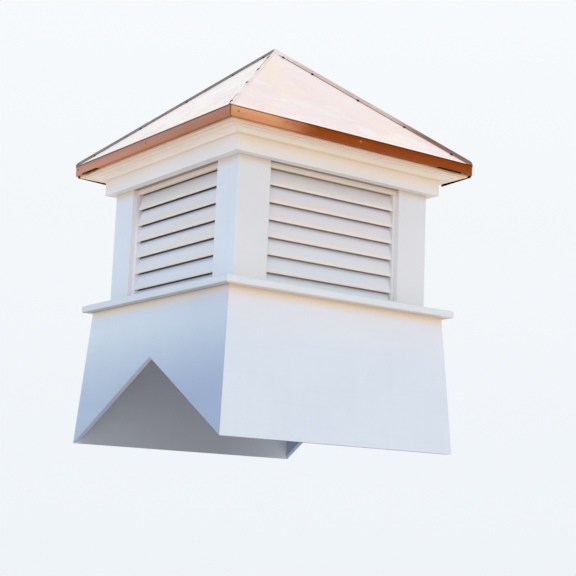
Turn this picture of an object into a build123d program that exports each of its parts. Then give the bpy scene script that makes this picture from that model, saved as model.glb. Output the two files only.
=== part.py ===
from build123d import *
import os
from math import atan2, cos, sqrt

# Body: the square that the corner posts stand on
body_width = 900.0
post_height = 463.0
post_leg = 140.0
post_arris = 1.5
board = 19.0

# Base: a flared box of boards, with an inverted V notched out of two sides
base_height = 529.0
base_setout = 49.0
base_flare = 34.0
notch_rise = 7.0
notch_run = 12.0

# Sill: a flat ring of boards with a rounded nose
sill_thickness = 28.0
sill_overhang = 34.0
sill_nose = 6.0

# Louvres: a frame set behind the posts on each side, with fixed blades that lap
frame_depth = 40.0
stile_reveal = 15.0
stile_lap = 19.0
head_reveal = 18.5
head_lap = 28.0
head_depth = 12.0
blade_count = 7
blade_thickness = 4.0
blade_depth = 20.0
blade_recess = 2.0
blade_cut_off = 13.0
blade_seat = 0.5
blade_lap = 6.0
nose_height = 7.0
nose_round = 3.0

# Frieze and crown moulding
frieze_height = 60.0
frieze_projection = 35.0
crown_height = 24.0
crown_projection = 80.0
crown_fillet = 4.0
crown_band = 8.0
crown_band_lip = 12.0
crown_quirk = 3.0
cove_rises = (0.35, 1.0)
cove_lands = (1.0, 0.05)

# Roof: timber plate, plywood deck and folded copper sheet
roof_height = 494.0
eave_overhang = 19.0
fascia_height = 41.0
hem_projection = 2.0
hem_height = 4.0
copper = 1.5
lip_lap = 6.0
lip_cut_back = 190.0
lip_tab = 70.0
wrap_radius = 20.0
wrap_bend = 25.0
deck_thickness = 12.0
plate_width = 38.0
plate_recess = 25.0

# Hips: a raised cap where the sheet is bent round the corner, a flat strip where it is mitred
hip_thickness = 1.2
hip_foot = 6.0
cap_leg = 30.0
cap_rise = 9.0
cap_fold = 4.0
cap_bend = 40.0
cap_bed = 8.0
cap_end = 30.0
strip_leg = 9.0
strip_clearance = 1.0

# Levels from the bottom up
sill_top = base_height + sill_thickness
frieze_bottom = sill_top + post_height
crown_bottom = frieze_bottom + frieze_height
crown_top = crown_bottom + crown_height
fascia_bottom = crown_top
eave = fascia_bottom + fascia_height
apex = eave + roof_height

# Half widths from the centre line outwards
body_half = body_width / 2
frame_face = body_half - board
frame_back = frame_face - frame_depth
opening_half = body_half - post_leg
blade_half = opening_half - stile_reveal
base_top_half = body_half + base_setout
base_half = base_top_half + base_flare
sill_half = base_top_half + sill_overhang
frieze_half = body_half + frieze_projection
crown_half = frieze_half + crown_projection
roof_half = crown_half + eave_overhang
hem_half = roof_half + hem_projection

# Slopes and what they take off a level
wall_across = board / cos(atan2(base_flare, base_height))
notch_height = base_half * notch_rise / notch_run
pitch = roof_height / roof_half
slope = atan2(roof_height, roof_half)
copper_drop = copper / cos(slope)
deck_drop = copper_drop + deck_thickness / cos(slope)
hip_fall = pitch / sqrt(2)
hip_lift = hip_thickness / cos(atan2(pitch, sqrt(2)))

sides = {"front": (0, -1, 0), "right": (1, 0, 0), "back": (0, 1, 0), "left": (-1, 0, 0)}
corners = {
    "front_left": (-1, -1),
    "front_right": (1, -1),
    "back_right": (1, 1),
    "back_left": (-1, 1),
}

# The sheet is bent round two corners, and meets in a mitre at the other two
wrapped = ("front_right", "back_left")


def section_plane(outward):
    """The plane across one side: its local X points outwards and its local Y up."""
    facing = Vector(*outward)
    return Plane(origin=(0, 0, 0), x_dir=facing, z_dir=facing.cross(Vector(0, 0, 1)))


def mitre_ends(section):
    """Cuts both ends of a side's run on the diagonals of the square."""
    for along in (section.z_dir, -section.z_dir):
        split(bisect_by=Plane(origin=(0, 0, 0), z_dir=along - section.x_dir), keep=Keep.BOTTOM)


def roof_level(half, drop):
    """Height, at a half width, of a surface that lies a given drop under the copper."""
    return apex - drop - pitch * half


def rounded_square(half):
    """The square of a half width, rounded at the wrapped corners."""
    with BuildSketch() as plan:
        Rectangle(2 * half, 2 * half)
        for corner in wrapped:
            across, along = corners[corner]
            at_corner = plan.vertices().sort_by_distance((across * half, along * half, 0))
            fillet(at_corner[0], wrap_radius - (roof_half - half))
    return plan.sketch


def rounded_plan(half):
    """A tall block over the rounded square of a half width."""
    with BuildPart() as block:
        with BuildSketch():
            add(rounded_square(half))
        extrude(amount=2 * apex)
    return block.part


def corner_reach(half):
    """How far a wrapped corner of a half width is from the centre, along the diagonal."""
    return sqrt(2) * half - (sqrt(2) - 1) * (wrap_radius - (roof_half - half))


def under_bend(corner, half, top, bend):
    """A block under a hip line from a given top, bent over into the fascia at a wrapped corner."""
    towards = Vector(*corners[corner], 0).normalized()
    reach = corner_reach(half)
    end = top - hip_fall * reach
    along_hip = Plane(origin=(0, 0, 0), x_dir=towards, z_dir=towards.cross(Vector(0, 0, 1)))
    with BuildPart() as block:
        with BuildSketch(along_hip) as profile:
            with BuildLine():
                Polyline((-2 * reach, 0), (reach, 0), (reach, end), (0, top), (-2 * reach, top), close=True)
            make_face()
            fillet(profile.vertices().group_by(Axis.X)[-1].sort_by(Axis.Y)[-1], bend)
        extrude(amount=2 * reach, both=True)
    return block.part


def roof_solid(drop, half, bottom, bend=0):
    """The solid from a level up to slopes that lie a given drop under the copper's top."""
    with BuildPart() as solid:
        for plane, mode in ((Plane.XZ, Mode.ADD), (Plane.YZ, Mode.INTERSECT)):
            with BuildSketch(plane):
                with BuildLine():
                    Polyline(
                        (0, roof_level(0, drop)),
                        (half, roof_level(half, drop)),
                        (half, bottom),
                        (-half, bottom),
                        (-half, roof_level(half, drop)),
                        close=True,
                    )
                make_face()
            extrude(amount=half, both=True, mode=mode)
        add(rounded_plan(half), mode=Mode.INTERSECT)
        if bend:
            for corner in wrapped:
                add(under_bend(corner, half, roof_level(0, drop), bend), mode=Mode.INTERSECT)
    return solid.part


def save(piece, name):
    """Labels a finished piece and writes it."""
    piece.part.label = name
    export_step(piece.part, f"parts/{name}.step")


os.makedirs("parts", exist_ok=True)

# Roof solids that the pieces of each side are cut from
over_copper = roof_solid(0, roof_half, fascia_bottom, wrap_bend)
over_hem = roof_solid(0, hem_half, eave - hem_height, wrap_bend)
under_cap = roof_solid(0, hem_half, fascia_bottom, wrap_bend)
over_deck = roof_solid(copper_drop, roof_half - copper, fascia_bottom, wrap_bend - copper)
under_deck = roof_solid(deck_drop, roof_half, fascia_bottom)
lip_half = crown_half - lip_lap
lip_outer = roof_half - copper / 2
lip_width = lip_outer - lip_half
lip_notch = lip_cut_back - lip_tab
lip_notch_at = lip_outer - lip_tab - lip_notch / 2

for side, outward in sides.items():
    section = section_plane(outward)

    # Base wall: a leaning board, with the inverted V cut out of the left and right ones
    with BuildPart() as wall:
        with BuildSketch(section):
            with BuildLine():
                Polyline(
                    (base_half, 0),
                    (base_top_half, base_height),
                    (base_top_half - wall_across, base_height),
                    (base_half - wall_across, 0),
                    close=True,
                )
            make_face()
        extrude(amount=base_half, both=True)
        mitre_ends(section)
        if side in ("left", "right"):
            with BuildSketch(Plane.YZ):
                with BuildLine():
                    Polyline((-base_half, 0), (base_half, 0), (0, notch_height), close=True)
                make_face()
            extrude(amount=base_half, both=True, mode=Mode.SUBTRACT)
    save(wall, f"{side}_base_wall")

    # Sill board: it reaches from its rounded nose to the back of the louvre frame
    with BuildPart() as sill:
        with BuildSketch(section) as sill_section:
            with BuildLine():
                Polyline(
                    (frame_back, base_height),
                    (sill_half, base_height),
                    (sill_half, sill_top),
                    (frame_back, sill_top),
                    close=True,
                )
            make_face()
            fillet(sill_section.vertices().group_by(Axis.X)[-1], sill_nose)
        extrude(amount=sill_half, both=True)
        mitre_ends(section)
    save(sill, f"{side}_sill")

    # Louvre frame: stiles that lap behind the posts, and a head that laps behind the frieze
    head_bottom = frieze_bottom - head_reveal
    frame_top = frieze_bottom + head_lap
    with BuildPart() as frame:
        with BuildSketch(section):
            with BuildLine():
                Polyline(
                    (frame_back, sill_top),
                    (frame_face, sill_top),
                    (frame_face, frame_top),
                    (frame_back, frame_top),
                    close=True,
                )
            make_face()
        extrude(amount=opening_half + stile_lap, both=True)
        with BuildSketch(section):
            with BuildLine():
                Polyline(
                    (frame_back, sill_top),
                    (frame_face, sill_top),
                    (frame_face, head_bottom),
                    (frame_face - head_depth, head_bottom),
                    (frame_face - head_depth, frame_top),
                    (frame_back, frame_top),
                    close=True,
                )
            make_face()
        extrude(amount=blade_half, both=True, mode=Mode.SUBTRACT)
    save(frame, f"{side}_louvre_frame")

    # Blades: each leans inwards from a rounded nose that laps the blade below it
    blade_pitch = (head_bottom - sill_top + blade_cut_off) / blade_count
    blade_face = frame_face - blade_recess
    blade_back = blade_face - blade_depth
    with BuildPart() as blades:
        for row in range(blade_count):
            foot = sill_top - blade_cut_off + row * blade_pitch
            tip = foot + blade_pitch + blade_lap
            with BuildSketch(section) as blade_section:
                with BuildLine():
                    Polyline(
                        (blade_face, foot),
                        (blade_face, foot + nose_height),
                        (blade_back, tip),
                        (blade_back - blade_thickness, tip),
                        (blade_face - blade_thickness, foot + nose_height),
                        (blade_face - blade_thickness, foot),
                        close=True,
                    )
                make_face()
                fillet(blade_section.vertices().sort_by_distance((blade_face, foot))[0], nose_round)
            extrude(amount=blade_half, both=True)
        split(bisect_by=Plane.XY.offset(sill_top + blade_seat), keep=Keep.TOP)
    save(blades, f"{side}_louvre_blades")

    # Frieze board: it stands on the posts and overhangs them
    with BuildPart() as frieze:
        with BuildSketch(section):
            with BuildLine():
                Polyline(
                    (frame_face, frieze_bottom),
                    (frieze_half, frieze_bottom),
                    (frieze_half, crown_bottom),
                    (frame_face, crown_bottom),
                    close=True,
                )
            make_face()
        extrude(amount=frieze_half, both=True)
        mitre_ends(section)
    save(frieze, f"{side}_frieze")

    # Crown moulding: a fillet, a cove that sweeps out, a quirk and a flat band on top
    cove_start = (frieze_half + crown_fillet, crown_bottom + crown_fillet)
    cove_end = (crown_half - crown_band_lip, crown_top - crown_band - crown_quirk)
    with BuildPart() as crown:
        with BuildSketch(section):
            with BuildLine():
                Polyline((frame_face, crown_bottom), (cove_start[0], crown_bottom), cove_start)
                Spline(cove_start, cove_end, tangents=(cove_rises, cove_lands))
                Polyline(
                    cove_end,
                    (cove_end[0], crown_top - crown_band),
                    (crown_half, crown_top - crown_band),
                    (crown_half, crown_top),
                    (frame_face, crown_top),
                    (frame_face, crown_bottom),
                )
            make_face()
        extrude(amount=crown_half, both=True)
        mitre_ends(section)
    save(crown, f"{side}_crown")

    # Roof plate: a timber on edge, its top planed to the slope of the deck
    plate_outer = crown_half - plate_recess
    plate_inner = plate_outer - plate_width
    with BuildPart() as plate:
        with BuildSketch(section):
            with BuildLine():
                Polyline(
                    (plate_inner, crown_top),
                    (plate_outer, crown_top),
                    (plate_outer, roof_level(plate_outer, deck_drop)),
                    (plate_inner, roof_level(plate_inner, deck_drop)),
                    close=True,
                )
            make_face()
        extrude(amount=plate_outer, both=True)
        mitre_ends(section)
    save(plate, f"{side}_roof_plate")

    # Roof deck: a triangle of plywood that stops inside the copper fascia
    with BuildPart() as deck:
        add(over_deck)
        add(under_deck, mode=Mode.SUBTRACT)
        mitre_ends(section)
    save(deck, f"{side}_roof_deck")

    # Copper panel: a triangle folded down as the fascia and back under it as a lip
    with BuildPart() as panel:
        add(over_copper)
        add(over_hem)
        add(over_deck, mode=Mode.SUBTRACT)
        with BuildSketch(Plane.XY.offset(fascia_bottom)):
            add(rounded_square(lip_outer))
            Rectangle(2 * lip_half, 2 * lip_half, mode=Mode.SUBTRACT)
            for corner in wrapped:
                across, along = corners[corner]
                with Locations((across * lip_notch_at, along * lip_outer)):
                    Rectangle(lip_notch, 2 * lip_width, mode=Mode.SUBTRACT)
                with Locations((across * lip_outer, along * lip_notch_at)):
                    Rectangle(2 * lip_width, lip_notch, mode=Mode.SUBTRACT)
        extrude(amount=copper)
        mitre_ends(section)
    save(panel, f"{side}_copper_panel")

for corner, (across, along) in corners.items():
    # Corner post: an L of two boards
    with BuildPart() as post:
        with BuildSketch(Plane.XY.offset(sill_top)):
            with BuildLine():
                Polyline(
                    (across * body_half, along * body_half),
                    (across * opening_half, along * body_half),
                    (across * opening_half, along * frame_face),
                    (across * frame_face, along * frame_face),
                    (across * frame_face, along * opening_half),
                    (across * body_half, along * opening_half),
                    close=True,
                )
            make_face()
        extrude(amount=post_height)
        arris = (across * body_half, along * body_half, sill_top)
        fillet(post.edges().filter_by(Axis.Z).sort_by_distance(arris)[0], post_arris)
    save(post, f"{corner}_post")

    # Hip: its section is drawn across the hip line, and follows it down to the eaves
    capped = corner in wrapped
    leg = cap_leg if capped else strip_leg
    rise = cap_rise if capped else 0
    bed = cap_bed if capped else 0
    start = 0 if capped else cap_leg + strip_clearance
    bend = leg - hip_foot
    towards = Vector(across, along, 0).normalized()
    across_hip = Plane(
        origin=towards * start + Vector(0, 0, apex - hip_fall * start),
        x_dir=Vector(0, 0, 1).cross(towards),
        z_dir=towards,
    )
    down_hip = towards - Vector(0, 0, hip_fall)
    with BuildPart() as hip:
        with BuildSketch(across_hip) as hip_section:
            with BuildLine():
                Polyline(
                    (0, -bed),
                    (leg, -hip_fall * leg - bed),
                    (leg, hip_lift - hip_fall * leg),
                    (bend, hip_lift - hip_fall * bend),
                    (0, hip_lift + rise),
                    (-bend, hip_lift - hip_fall * bend),
                    (-leg, hip_lift - hip_fall * leg),
                    (-leg, -hip_fall * leg - bed),
                    close=True,
                )
            make_face()
            if capped:
                fillet(hip_section.vertices().sort_by(Axis.Y)[-1], cap_fold)
        extrude(amount=2 * hem_half, dir=down_hip)
        add(rounded_plan(hem_half), mode=Mode.INTERSECT)
        if capped:
            cap_top = apex + hip_lift + rise
            add(under_bend(corner, hem_half, cap_top, cap_bend), mode=Mode.INTERSECT)
            add(under_cap, mode=Mode.SUBTRACT)
            with BuildSketch(across_hip):
                with BuildLine():
                    Polyline(
                        (0, 0),
                        (bend, -hip_fall * bend),
                        (0, rise),
                        (-bend, -hip_fall * bend),
                        close=True,
                    )
                make_face()
            hollow = (corner_reach(hem_half) - cap_end) * down_hip.length
            extrude(amount=hollow, dir=down_hip, mode=Mode.SUBTRACT)
    save(hip, f"{corner}_hip")
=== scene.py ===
"""The looks of a barn cupola: its finishes, fixings, floor, light and camera."""

import logging
import math
from dataclasses import dataclass, replace
from enum import Enum
from functools import cached_property, partial, reduce

import bpy
from mathutils import Matrix, Vector


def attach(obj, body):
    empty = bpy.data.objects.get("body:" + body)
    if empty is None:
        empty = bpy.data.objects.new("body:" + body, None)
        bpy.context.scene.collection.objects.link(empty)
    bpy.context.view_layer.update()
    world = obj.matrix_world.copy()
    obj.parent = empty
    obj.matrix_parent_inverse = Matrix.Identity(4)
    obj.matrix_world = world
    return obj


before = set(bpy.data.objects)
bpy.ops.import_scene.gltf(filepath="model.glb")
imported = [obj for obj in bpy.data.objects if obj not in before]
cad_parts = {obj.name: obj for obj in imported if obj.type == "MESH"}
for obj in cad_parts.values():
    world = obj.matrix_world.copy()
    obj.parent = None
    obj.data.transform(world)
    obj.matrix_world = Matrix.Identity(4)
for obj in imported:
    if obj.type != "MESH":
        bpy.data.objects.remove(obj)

Colour = tuple[float, float, float]
Span = tuple[float, float]
Triple = tuple[float, float, float]
Pair = tuple[Colour, Colour]
Ramp = tuple[float, float, float, float]
Rows = tuple[tuple[float, float, int], ...]
Socket = bpy.types.NodeSocket
logging.basicConfig(level=logging.INFO, format="%(message)s")
log = logging.getLogger("cupola")

# The way out of each side and corner in plan, as X and Y.
SIDES = {"front": (0.0, -1.0), "right": (1.0, 0.0), "back": (0.0, 1.0), "left": (-1.0, 0.0)}
CORNERS = {
    "front_left": (-1.0, -1.0),
    "front_right": (1.0, -1.0),
    "back_right": (1.0, 1.0),
    "back_left": (-1.0, 1.0),
}

# What faces lower than this on Z faces down.
DOWN = -0.5
# A painted line is whole up to this share of its half width, and fades past it.
WHOLE = 0.6


class Grain(Enum):
    """The way that a board's faint lengthwise streaks run, as a stretch of the pattern."""

    ALONG_X = (0.03, 1.0, 1.0)
    ALONG_Y = (1.0, 0.03, 1.0)
    UPRIGHT = (1.0, 1.0, 0.03)


def level_grain(side: str) -> Grain:
    """Gives the grain of a level board on a side."""
    return Grain.ALONG_X if side in ("front", "back") else Grain.ALONG_Y


@dataclass(frozen=True)
class Pattern:
    """Cloudy noise on an object's own coordinates.

    The scale is how many clouds there are to a metre, and the stretch is small on the axis along
    which they are long. The shift keeps finishes from repeating one another. The detail and
    roughness are how many finer layers there are and how strong, and the distortion is how far
    the clouds are swirled.
    """

    scale: float
    stretch: Triple = (1.0, 1.0, 1.0)
    shift: Triple = (0.0, 0.0, 0.0)
    detail: float = 3.0
    roughness: float = 0.5
    distortion: float = 0.0


@dataclass(frozen=True)
class Tint:
    """A colour that a value lays on, from nothing at low to the share at high."""

    colour: Colour
    low: float
    high: float
    share: float = 1.0
    mode: str = "MIX"


def opaque(colour: object) -> object:
    """Gives a colour as the four numbers that a node takes, and a socket as it is."""
    return colour if isinstance(colour, Socket) else (*colour, 1.0)


class NodeWriter:
    """Short calls that add nodes to one node tree and link them."""

    def __init__(self, tree: bpy.types.NodeTree) -> None:
        """Starts on a shader or geometry tree, which it empties."""
        self.tree = tree
        self.tree.nodes.clear()

    def add(self, kind: str, inputs: dict | None = None, **settings: object) -> bpy.types.Node:
        """Adds a node.

        Args:
            kind: the node's type.
            inputs: a socket to link, or a value to set, for each input by name or number.
            settings: properties of the node itself.

        Returns:
            The new node.
        """
        node = self.tree.nodes.new(kind)
        for name, value in settings.items():
            setattr(node, name, value)
        for key, value in (inputs or {}).items():
            if isinstance(value, Socket):
                self.tree.links.new(value, node.inputs[key])
            else:
                node.inputs[key].default_value = value
        return node

    def out(self, kind: str, inputs: dict | None = None, **settings: object) -> Socket:
        """Adds a node as add does, and gives its first output."""
        return self.add(kind, inputs, **settings).outputs[0]

    def math(self, operation: str, *values: object, clamp: bool = False) -> Socket:
        """Adds a Math node on sockets or numbers, and gives its result, from 0 to 1 if clamped."""
        inputs = dict(enumerate(values))
        return self.out("ShaderNodeMath", inputs, operation=operation, use_clamp=clamp)

    def times(self, *values: object) -> Socket:
        """Multiplies two or more sockets or numbers."""
        return reduce(partial(self.math, "MULTIPLY"), values)

    def blend(self, factor: object, first: object, second: object, mode: str = "MIX") -> Socket:
        """Mixes the second colour or socket into the first, as far as the factor says."""
        inputs = {0: factor, 6: opaque(first), 7: opaque(second)}
        return self.add("ShaderNodeMix", inputs, data_type="RGBA", blend_type=mode).outputs[2]


class Surface(NodeWriter):
    """A new material, with calls for the places and patterns that the finishes are made of."""

    def __init__(self, name: str) -> None:
        """Makes the material.

        Args:
            name: the finish in plain words.
        """
        self.material = bpy.data.materials.new(name)
        self.material.use_nodes = True
        super().__init__(self.material.node_tree)
        self.place = self.add("ShaderNodeTexCoord").outputs["Object"]
        self.x, self.y, self.z = self.add("ShaderNodeSeparateXYZ", {0: self.place}).outputs
        facing = self.add("ShaderNodeNewGeometry").outputs["Normal"]
        turned = self.add("ShaderNodeSeparateXYZ", {0: facing}).outputs
        self.facing_x, self.facing_y, self.facing_z = turned

    @cached_property
    def across(self) -> Socket:
        """How far the point is from the middle on X."""
        return self.math("ABSOLUTE", self.x)

    @cached_property
    def along(self) -> Socket:
        """How far the point is from the middle on Y."""
        return self.math("ABSOLUTE", self.y)

    @cached_property
    def reach(self) -> Socket:
        """Half the width of the square round the middle on which the point lies."""
        return self.math("MAXIMUM", self.across, self.along)

    @cached_property
    def beside(self) -> Socket:
        """1 on the left and right quarters of the plan, 0 on the front and back ones."""
        return self.math("GREATER_THAN", self.across, self.along)

    @cached_property
    def off_diagonal(self) -> Socket:
        """How far the point is from the diagonals of the plan, measured on X or Y."""
        return self.math("ABSOLUTE", self.math("SUBTRACT", self.across, self.along))

    @cached_property
    def below(self) -> Socket:
        """1 on what faces down."""
        return self.math("LESS_THAN", self.facing_z, DOWN)

    @cached_property
    def run_straight(self) -> Socket:
        """How far right of the middle the point is on the front and back, seen from outside."""
        return self.times(self.x, self.math("SIGN", self.times(self.y, -1.0)))

    @cached_property
    def run_beside(self) -> Socket:
        """How far right of the middle the point is on the left and right, seen from outside."""
        return self.times(self.y, self.math("SIGN", self.x))

    def remap(
        self, value: Socket, low: float, high: float, start: float = 0.0, end: float = 1.0
    ) -> Socket:
        """Turns low to high into start to end, smoothly, and holds it past them."""
        inputs = {"Value": value, "From Min": low, "From Max": high, "To Min": start, "To Max": end}
        return self.out("ShaderNodeMapRange", inputs, interpolation_type="SMOOTHSTEP")

    def tint(self, colour: object, value: Socket, tint: Tint) -> Socket:
        """Lays a tint on a colour by a value, and gives the new colour."""
        share = self.remap(value, tint.low, tint.high, 0.0, tint.share)
        return self.blend(share, colour, tint.colour, tint.mode)

    def noise(self, pattern: Pattern) -> Socket:
        """Adds a pattern.

        Args:
            pattern: its sizes.

        Returns:
            The noise's socket, from 0 to 1.
        """
        moved = {"Vector": self.place, "Location": pattern.shift, "Scale": pattern.stretch}
        inputs = {
            "Vector": self.out("ShaderNodeMapping", moved),
            "Scale": pattern.scale,
            "Detail": pattern.detail,
            "Roughness": pattern.roughness,
            "Distortion": pattern.distortion,
        }
        return self.out("ShaderNodeTexNoise", inputs)

    def side_light_and_shade(self, lit_and_shaded_colours: Pair) -> Socket:
        """Gives the first colour on the front and back, and on the left and right the second, a
        copy painted in their light and shade.
        """
        return self.blend(self.beside, *lit_and_shaded_colours)

    def choose(self, factor: Socket, first: object, second: object) -> Socket:
        """Gives the first number where the factor is 0, and the second where it is 1."""
        return self.out("ShaderNodeMix", {0: factor, 2: first, 3: second})

    def relief(self, height: Socket, depth: float, over: Socket | None = None) -> Socket:
        """Adds a bump.

        Args:
            height: the pattern's socket, from 0 to 1.
            depth: how deep the pattern is, in metres.
            over: a normal that it lies on.

        Returns:
            The normal's socket.
        """
        inputs = {"Height": height, "Strength": 1.0, "Distance": depth}
        if over is not None:
            inputs["Normal"] = over
        return self.out("ShaderNodeBump", inputs)

    def mitre(self, half_width: float) -> Socket:
        """Gives 1 on the joints along the diagonals of the plan, and 0 beside them."""
        whole, gone = half_width * WHOLE, half_width * (2.0 - WHOLE)
        return self.remap(self.off_diagonal, whole, gone, 1.0, 0.0)

    def close(self, **inputs: object) -> bpy.types.Material:
        """Ends the tree in one shader.

        Args:
            inputs: the shader's inputs, with spaces written as underscores.

        Returns:
            The finished material.
        """
        named = {name.replace("_", " "): value for name, value in inputs.items()}
        shader = self.out("ShaderNodeBsdfPrincipled", named)
        self.add("ShaderNodeOutputMaterial", {"Surface": shader})
        return self.material


@dataclass(frozen=True)
class Band:
    """A strip round the square plan, between two half widths, maybe only on what faces down; the
    script paints strips of shade, a darker edge and a glow with it.
    """

    inner: float
    outer: float
    colour: Colour
    share: float
    soft: float = 0.002
    below: bool = False

    def lay(self, s: Surface, colour: Socket) -> Socket:
        """Lays the strip over a colour.

        Args:
            s: the material.
            colour: what it lies on.

        Returns:
            The colour's socket.
        """
        half = 0.5 * self.soft
        rise = s.remap(s.reach, self.inner - half, self.inner + half)
        fall = s.remap(s.reach, self.outer - half, self.outer + half, 1.0, 0.0)
        within = s.times(rise, fall)
        if self.below:
            within = s.times(within, s.below)
        return s.blend(s.times(within, self.share), colour, self.colour)


@dataclass(frozen=True)
class BoardFinish:
    """White cellular PVC board, satin, with faint extrusion streaks, dust and fine mitre joints,
    and with painted light and shade on its sides, returns, top, foot and what faces down.
    """

    name: str = "board"
    grain: Grain = Grain.UPRIGHT
    # Painted side light: the first colour is for faces toward the front and back, the second a copy
    # painted in the light and shade of the left and right.
    lit_and_shaded_colours: Pair = ((0.80, 0.785, 0.81), (0.79, 0.845, 0.96))
    # A paler colour painted on the returns that face across the board: painted light in their
    # shaded recess.
    painted_reveal_light: Colour | None = None
    reveal_facing: float = 0.9
    # Colour pairs towards the foot, by side: painted light and shade on the lower part of the
    # board.
    foot: Pair | None = None
    foot_span: Span = (0.98, 0.82)
    clouds: Pattern = Pattern(2.6, shift=(3.1, 1.7, 0.4), detail=4.0)
    cloud: Tint = Tint((0.965, 0.97, 0.98), 0.35, 0.68, mode="MULTIPLY")
    streaks: Pattern = Pattern(70.0, detail=2.0)
    streak: Tint = Tint((0.60, 0.61, 0.64), 0.5, 0.8, 0.05)
    specks: Pattern = Pattern(420.0, detail=2.0, roughness=0.6)
    speck: Tint = Tint((0.42, 0.40, 0.38), 0.62, 0.78, 0.08)
    depths: Triple = (0.0004, 0.00015, 0.00008)
    gloss: Ramp = (0.3, 0.7, 0.40, 0.52)
    streak_gloss: Ramp = (0.4, 0.8, 0.0, 0.08)
    refraction: float = 1.48
    # Painted shade with warm bounce light on what faces down, patchy with the clouds.
    underside: Colour = (0.76, 0.69, 0.64)
    underside_span: Span = (-0.15, -0.95)
    underside_clouds: Ramp = (0.2, 0.7, 0.8, 1.0)
    underside_film: float = 0.75
    # A painted glow of warm bounce light, down from the top of the board.
    warmth: Colour = (0.80, 0.64, 0.48)
    bounce_glow_top: float = 0.0
    bounce_glow_depth: float = 0.040
    bounce_glow_share: float = 0.80
    # Strips of painted shade and glow, and darker edges.
    bands: tuple[Band, ...] = ()
    joint: Colour = (0.33, 0.31, 0.30)
    joint_half_width: float = 0.0007
    joint_share: float = 0.3
    mitred: bool = True
    # Dirt runs on the front and back; on the left and right, painted shade deepening low down and
    # towards one end.
    weathered_and_shaded: Span | None = None
    runs: Pattern = Pattern(24.0, stretch=(1.0, 1.0, 0.12), shift=(0.0, 5.0, 0.0), detail=4.0)
    dirt_and_shade_films: Pair = ((0.50, 0.53, 0.60), (0.28, 0.37, 0.60))
    straight_film: Ramp = (0.3, 0.75, 0.02, 0.07)
    side_shade_share: float = 0.48
    side_shade_near: Ramp = (-0.45, 0.60, 0.0, 0.22)

    def on_level(self, side: str, piece: str, **changes: object) -> "BoardFinish":
        """Gives this finish, with some changes, to a level board on a side."""
        return replace(self, name=f"{side} {piece}", grain=level_grain(side), **changes)

    def weathering_and_side_shade(self, s: Surface, colour: Socket) -> Socket:
        """Lays a thin film of dirt over the foot of the front and back, and a heavier painted blue
        shade over the foot of the left and right, darker towards their right ends, seen from
        outside.

        Args:
            s: the material.
            colour: the clean board's colour.

        Returns:
            The colour's socket.
        """
        low = s.remap(s.z, *self.weathered_and_shaded)
        light = s.times(low, s.remap(s.noise(self.runs), *self.straight_film))
        # Painted shade on the left and right, deeper low down and towards one end.
        near = s.remap(s.run_beside, *self.side_shade_near)
        side_shade = s.math("ADD", s.times(low, self.side_shade_share), near, clamp=True)
        return s.blend(s.choose(s.beside, light, side_shade), colour, s.side_light_and_shade(self.dirt_and_shade_films))

    def build(self) -> bpy.types.Material:
        """Makes the material.

        Returns:
            The board's material.
        """
        s = Surface(self.name)
        clouds = s.noise(self.clouds)
        streaks = s.noise(replace(self.streaks, stretch=self.grain.value))
        specks = s.noise(self.specks)
        colour = s.side_light_and_shade(self.lit_and_shaded_colours)
        # Painted light and shade towards the foot.
        if self.foot is not None:
            colour = s.blend(s.remap(s.z, *self.foot_span), colour, s.side_light_and_shade(self.foot))
        # Painted light on the returns, which lie in shade.
        if self.painted_reveal_light is not None:
            left_or_right = s.math("ABSOLUTE", s.facing_x)
            front_or_back = s.math("ABSOLUTE", s.facing_y)
            turned = s.choose(s.beside, left_or_right, front_or_back)
            inward = s.math("GREATER_THAN", turned, self.reveal_facing)
            colour = s.blend(inward, colour, self.painted_reveal_light)
        colour = s.tint(colour, clouds, self.cloud)
        colour = s.tint(colour, streaks, self.streak)
        colour = s.tint(colour, specks, self.speck)
        # Painted warm bounce light under what stands over the board.
        if self.bounce_glow_top:
            bounce_glow_foot = self.bounce_glow_top - self.bounce_glow_depth
            warm = Tint(self.warmth, bounce_glow_foot, self.bounce_glow_top, self.bounce_glow_share)
            colour = s.tint(colour, s.z, warm)
        # Painted shade and warm bounce light on what faces down.
        down = s.remap(s.facing_z, *self.underside_span, 0.0, self.underside_film)
        patchy = s.times(down, s.remap(clouds, *self.underside_clouds))
        colour = s.blend(patchy, colour, self.underside)
        if self.weathered_and_shaded is not None:
            colour = self.weathering_and_side_shade(s, colour)
        # Painted strips of shade and glow.
        for band in self.bands:
            colour = band.lay(s, colour)
        if self.mitred:
            line = s.times(s.mitre(self.joint_half_width), self.joint_share)
            colour = s.blend(line, colour, self.joint)
        streaked = s.remap(streaks, *self.streak_gloss)
        gloss = s.math("ADD", s.remap(clouds, *self.gloss), streaked)
        normal = None
        for pattern, depth in zip((clouds, streaks, specks), self.depths):
            normal = s.relief(pattern, depth, normal)
        return s.close(Base_Color=colour, Roughness=gloss, Normal=normal, IOR=self.refraction)


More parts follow.
